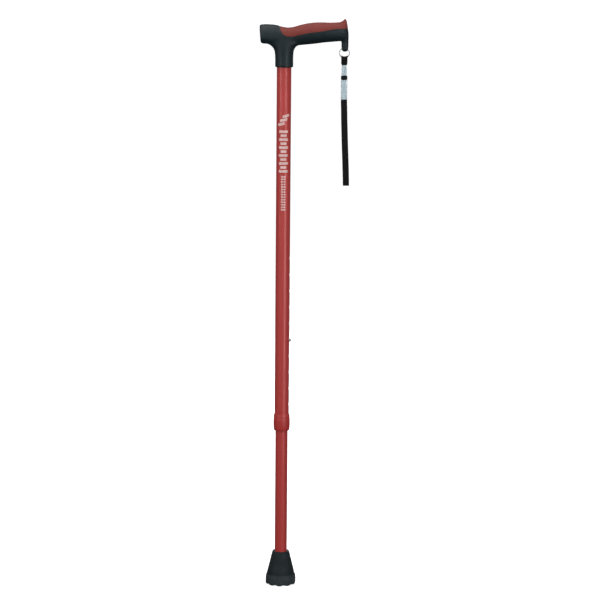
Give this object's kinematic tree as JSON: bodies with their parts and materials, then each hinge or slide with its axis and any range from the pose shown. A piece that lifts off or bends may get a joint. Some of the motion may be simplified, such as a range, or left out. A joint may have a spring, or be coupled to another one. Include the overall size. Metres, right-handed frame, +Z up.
{
  "type": "height-adjustable walking cane",
  "caption": "Walking cane with an offset grip and soft insert, two telescoping tubes with a push-button height lock and locking collar, flared rubber foot, wrist strap on a split ring.",
  "frame": {"origin": "centre of the rubber foot's sole, on the shaft's axis, with the height set as in the picture", "axes": "+Z up along the shaft; +X along the grip from the shaft to its front end, where the strap hangs; +Y to the cane's left side, away from the viewer"},
  "size_m": [0.1384, 0.0474, 0.8809],
  "materials": {
    "handle_plastic": "satin black with a bluish tint, very fine moulded texture",
    "grip_rubber": "dull brick red soft-touch rubber",
    "red_tube": "brick red satin anodised or powder-coated aluminium",
    "red_collar": "red moulded nylon, satin",
    "nylon": "natural nylon",
    "spring_steel": "plain spring steel",
    "button_steel": "polished steel",
    "foot_rubber": "matte black rubber",
    "ring_steel": "bright plated wire",
    "webbing": "black woven nylon webbing",
    "strap_metal": "satin silver",
    "keeper_plastic": "black"
  },
  "bodies": {
    "upper_shaft": {"handle_body": "handle_plastic", "grip_insert": "grip_rubber", "upper_tube": "red_tube", "compression_ring": "nylon"},
    "collar": {"locking_collar": "red_collar"},
    "lower_shaft": {"lower_tube": "red_tube", "lower_tube_cap": "nylon", "snap_clip": "spring_steel", "ferrule": "foot_rubber", "ferrule_washer": "spring_steel"},
    "button": {"snap_button": "button_steel"},
    "ring": {"split_ring": "ring_steel"},
    "loop": {"ring_loop": "webbing"},
    "strap": {"strap_core": "webbing", "strap_crimp": "strap_metal", "strap_keeper": "keeper_plastic", "strap_sleeve": "strap_metal", "wrist_loop": "webbing"}
  },
  "joints": [
    {"name": "height_adjust", "type": "slide", "parent": "upper_shaft", "child": "lower_shaft", "axis": [0, 0, 1], "range_m": [-0.1016, 0.127], "deforming": ["snap_clip", "snap_button"]},
    {"name": "button_press", "type": "slide", "parent": "lower_shaft", "child": "button", "axis": [-1, 0, 0], "range_m": [0, 0.0042], "stiffness_N_per_m": 2500, "springref_m": -0.004, "deforming": ["snap_clip"]},
    {"name": "collar_turn", "type": "hinge", "parent": "upper_shaft", "child": "collar", "pos_m": [0, 0, 0.2581], "axis": [0, 0, 1], "range_deg": [-270, 0]},
    {"name": "ring_swing", "type": "hinge", "parent": "upper_shaft", "child": "ring", "pos_m": [0.0913, 0, 0.8355], "axis": [1, 0, 0], "range_deg": [-70, 70]},
    {"name": "strap_slide_round_ring", "type": "hinge", "parent": "ring", "child": "loop", "pos_m": [0.0913, 0, 0.8292], "axis": [0, 1, 0], "range_deg": [-55, 20]},
    {"name": "strap_flex", "type": "hinge", "parent": "loop", "child": "strap", "pos_m": [0.0913, 0, 0.8088], "axis": [1, 0, 0], "range_deg": [-60, 60]}
  ]
}
